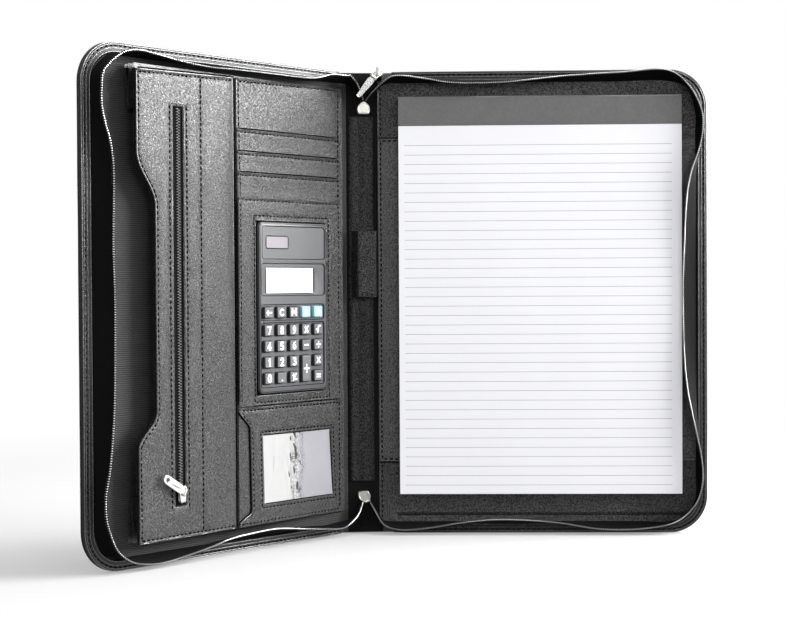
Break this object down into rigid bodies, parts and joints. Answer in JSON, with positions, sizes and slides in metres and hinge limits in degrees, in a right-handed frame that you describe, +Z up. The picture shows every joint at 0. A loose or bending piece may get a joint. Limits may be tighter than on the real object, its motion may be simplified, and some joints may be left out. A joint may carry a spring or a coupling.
{
  "type": "zip portfolio case",
  "caption": "Zip-round portfolio case for an A4 pad, standing open, with a pocket for documents, card slots, a calculator and a pen loop.",
  "frame": {"origin": "middle of the standing open case's box, on the surface it stands on", "axes": "+Z up, along the height of the covers; +X along the right cover, away from the spine; -Y out of the pad, towards the reader"},
  "size_m": [0.4322, 0.1928, 0.3473],
  "materials": {
    "leather_black": "pebbled, soft sheen",
    "leather_trim": "pebbled, soft sheen",
    "board": "matte pressed board",
    "lining_fabric": "fine ribbed",
    "zip_tape": "woven",
    "zip_teeth": "bright metal coil",
    "bright_metal": "polished",
    "pad_card": "matte grey card",
    "pad_paper": "uncoated ruled paper",
    "pad_strip": "textured binding strip",
    "clear_vinyl": "clear soft vinyl",
    "calculator_body": "fine satin",
    "circuit_board": "green board",
    "membrane": "matte rubber",
    "display": "pale grey display",
    "solar": "glossy cell",
    "key_grey": "soft rubber",
    "key_blue": "soft rubber"
  },
  "bodies": {
    "right_cover": {"right_cover_shell": "leather_black", "right_cover_board": "board", "right_lining": "lining_fabric", "pad_sleeve": "leather_trim", "right_zip_tape": "zip_tape", "right_zip_teeth": "zip_teeth"},
    "notepad": {"notepad_backing": "pad_card", "notepad_sheets": "pad_paper", "notepad_binding": "pad_strip"},
    "notepad_top_sheet": {"notepad_top_sheet": "pad_paper"},
    "spine": {"spine_cover": "leather_black", "spine_lining": "lining_fabric", "pen_loop": "leather_trim", "zip_end_tabs": "bright_metal", "main_zip_slider": "bright_metal"},
    "main_zip_pull": {"main_zip_pull": "bright_metal"},
    "left_cover": {"left_cover_shell": "leather_black", "left_cover_board": "board", "left_lining": "lining_fabric", "left_zip_tape": "zip_tape", "left_zip_teeth": "zip_teeth", "pocket_bellows": "leather_trim"},
    "document_pocket": {"file_pocket_front": "leather_trim", "pocket_zip": "zip_tape", "card_slots": "leather_trim", "calculator_panel": "leather_trim", "id_pocket": "leather_trim", "id_window": "clear_vinyl", "calculator_case": "calculator_body", "calculator_back": "calculator_body", "calculator_display": "display", "solar_cell": "solar", "calculator_pcb": "circuit_board", "keypad_membrane": "membrane"},
    "pocket_zip_slider": {"pocket_zip_slider": "bright_metal"},
    "pocket_zip_pull": {"pocket_zip_pull": "bright_metal"},
    "key_off": {"key_off": "key_grey"},
    "key_clear": {"key_clear": "key_grey"},
    "key_memory": {"key_memory": "key_grey"},
    "key_mode": {"key_mode": "key_blue"},
    "key_on": {"key_on": "key_blue"},
    "key_7": {"key_7": "key_grey"},
    "key_8": {"key_8": "key_grey"},
    "key_9": {"key_9": "key_grey"},
    "key_percent": {"key_percent": "key_grey"},
    "key_root": {"key_root": "key_grey"},
    "key_4": {"key_4": "key_grey"},
    "key_5": {"key_5": "key_grey"},
    "key_6": {"key_6": "key_grey"},
    "key_minus": {"key_minus": "key_grey"},
    "key_divide": {"key_divide": "key_grey"},
    "key_1": {"key_1": "key_grey"},
    "key_2": {"key_2": "key_grey"},
    "key_3": {"key_3": "key_grey"},
    "key_plus": {"key_plus": "key_grey"},
    "key_multiply": {"key_multiply": "key_grey"},
    "key_0": {"key_0": "key_grey"},
    "key_point": {"key_point": "key_grey"},
    "key_sign": {"key_sign": "key_grey"},
    "key_equals": {"key_equals": "key_grey"}
  },
  "joints": [
    {"name": "spine_hinge", "type": "hinge", "parent": "right_cover", "child": "spine", "pos_m": [-0.0219, 0.09339, 0], "axis": [0, 0, 1], "range_deg": [-6, 84]},
    {"name": "left_cover_hinge", "type": "hinge", "parent": "spine", "child": "left_cover", "pos_m": [-0.0577, 0.08963, 0], "axis": [0, 0, 1], "range_deg": [-43, 47]},
    {"name": "document_pocket_hinge", "type": "hinge", "parent": "left_cover", "child": "document_pocket", "pos_m": [-0.05937, 0.08314, 0], "axis": [0, 0, -1], "range_deg": [-5, 3], "stiffness_Nm_per_rad": 0.15, "deforming": ["pocket_bellows"]},
    {"name": "pocket_zip_travel", "type": "slide", "parent": "document_pocket", "child": "pocket_zip_slider", "axis": [0, 0, 1], "range_m": [0, 0.25]},
    {"name": "pocket_zip_pull_swing", "type": "hinge", "parent": "pocket_zip_slider", "child": "pocket_zip_pull", "pos_m": [-0.15356, -0.0498, 0.049], "axis": [-0.3226, -0.4204, -0.848], "range_deg": [-170, 0]},
    {"name": "main_zip_pull_swing", "type": "hinge", "parent": "spine", "child": "main_zip_pull", "pos_m": [-0.03157, 0.07176, 0.33982], "axis": [0.7032, 0.0739, -0.7071], "range_deg": [-150, 0]},
    {"name": "notepad_slide", "type": "slide", "parent": "right_cover", "child": "notepad", "axis": [0, 0, 1], "range_m": [0, 0.008]},
    {"name": "notepad_page_turn", "type": "hinge", "parent": "notepad", "child": "notepad_top_sheet", "pos_m": [0.0914, 0.08329, 0.3046], "axis": [1, 0, 0], "range_deg": [-160, 0]},
    {"name": "key_off_press", "type": "slide", "parent": "document_pocket", "child": "key_off", "axis": [-0.7934, 0.6088, 0], "range_m": [0, 0.0008], "stiffness_N_per_m": 300},
    {"name": "key_clear_press", "type": "slide", "parent": "document_pocket", "child": "key_clear", "axis": [-0.7934, 0.6088, 0], "range_m": [0, 0.0008], "stiffness_N_per_m": 300},
    {"name": "key_memory_press", "type": "slide", "parent": "document_pocket", "child": "key_memory", "axis": [-0.7934, 0.6088, 0], "range_m": [0, 0.0008], "stiffness_N_per_m": 300},
    {"name": "key_mode_press", "type": "slide", "parent": "document_pocket", "child": "key_mode", "axis": [-0.7934, 0.6088, 0], "range_m": [0, 0.0008], "stiffness_N_per_m": 300},
    {"name": "key_on_press", "type": "slide", "parent": "document_pocket", "child": "key_on", "axis": [-0.7934, 0.6088, 0], "range_m": [0, 0.0008], "stiffness_N_per_m": 300},
    {"name": "key_7_press", "type": "slide", "parent": "document_pocket", "child": "key_7", "axis": [-0.7934, 0.6088, 0], "range_m": [0, 0.0008], "stiffness_N_per_m": 300},
    {"name": "key_8_press", "type": "slide", "parent": "document_pocket", "child": "key_8", "axis": [-0.7934, 0.6088, 0], "range_m": [0, 0.0008], "stiffness_N_per_m": 300},
    {"name": "key_9_press", "type": "slide", "parent": "document_pocket", "child": "key_9", "axis": [-0.7934, 0.6088, 0], "range_m": [0, 0.0008], "stiffness_N_per_m": 300},
    {"name": "key_percent_press", "type": "slide", "parent": "document_pocket", "child": "key_percent", "axis": [-0.7934, 0.6088, 0], "range_m": [0, 0.0008], "stiffness_N_per_m": 300},
    {"name": "key_root_press", "type": "slide", "parent": "document_pocket", "child": "key_root", "axis": [-0.7934, 0.6088, 0], "range_m": [0, 0.0008], "stiffness_N_per_m": 300},
    {"name": "key_4_press", "type": "slide", "parent": "document_pocket", "child": "key_4", "axis": [-0.7934, 0.6088, 0], "range_m": [0, 0.0008], "stiffness_N_per_m": 300},
    {"name": "key_5_press", "type": "slide", "parent": "document_pocket", "child": "key_5", "axis": [-0.7934, 0.6088, 0], "range_m": [0, 0.0008], "stiffness_N_per_m": 300},
    {"name": "key_6_press", "type": "slide", "parent": "document_pocket", "child": "key_6", "axis": [-0.7934, 0.6088, 0], "range_m": [0, 0.0008], "stiffness_N_per_m": 300},
    {"name": "key_minus_press", "type": "slide", "parent": "document_pocket", "child": "key_minus", "axis": [-0.7934, 0.6088, 0], "range_m": [0, 0.0008], "stiffness_N_per_m": 300},
    {"name": "key_divide_press", "type": "slide", "parent": "document_pocket", "child": "key_divide", "axis": [-0.7934, 0.6088, 0], "range_m": [0, 0.0008], "stiffness_N_per_m": 300},
    {"name": "key_1_press", "type": "slide", "parent": "document_pocket", "child": "key_1", "axis": [-0.7934, 0.6088, 0], "range_m": [0, 0.0008], "stiffness_N_per_m": 300},
    {"name": "key_2_press", "type": "slide", "parent": "document_pocket", "child": "key_2", "axis": [-0.7934, 0.6088, 0], "range_m": [0, 0.0008], "stiffness_N_per_m": 300},
    {"name": "key_3_press", "type": "slide", "parent": "document_pocket", "child": "key_3", "axis": [-0.7934, 0.6088, 0], "range_m": [0, 0.0008], "stiffness_N_per_m": 300},
    {"name": "key_plus_press", "type": "slide", "parent": "document_pocket", "child": "key_plus", "axis": [-0.7934, 0.6088, 0], "range_m": [0, 0.0008], "stiffness_N_per_m": 300},
    {"name": "key_multiply_press", "type": "slide", "parent": "document_pocket", "child": "key_multiply", "axis": [-0.7934, 0.6088, 0], "range_m": [0, 0.0008], "stiffness_N_per_m": 300},
    {"name": "key_0_press", "type": "slide", "parent": "document_pocket", "child": "key_0", "axis": [-0.7934, 0.6088, 0], "range_m": [0, 0.0008], "stiffness_N_per_m": 300},
    {"name": "key_point_press", "type": "slide", "parent": "document_pocket", "child": "key_point", "axis": [-0.7934, 0.6088, 0], "range_m": [0, 0.0008], "stiffness_N_per_m": 300},
    {"name": "key_sign_press", "type": "slide", "parent": "document_pocket", "child": "key_sign", "axis": [-0.7934, 0.6088, 0], "range_m": [0, 0.0008], "stiffness_N_per_m": 300},
    {"name": "key_equals_press", "type": "slide", "parent": "document_pocket", "child": "key_equals", "axis": [-0.7934, 0.6088, 0], "range_m": [0, 0.0008], "stiffness_N_per_m": 300}
  ]
}
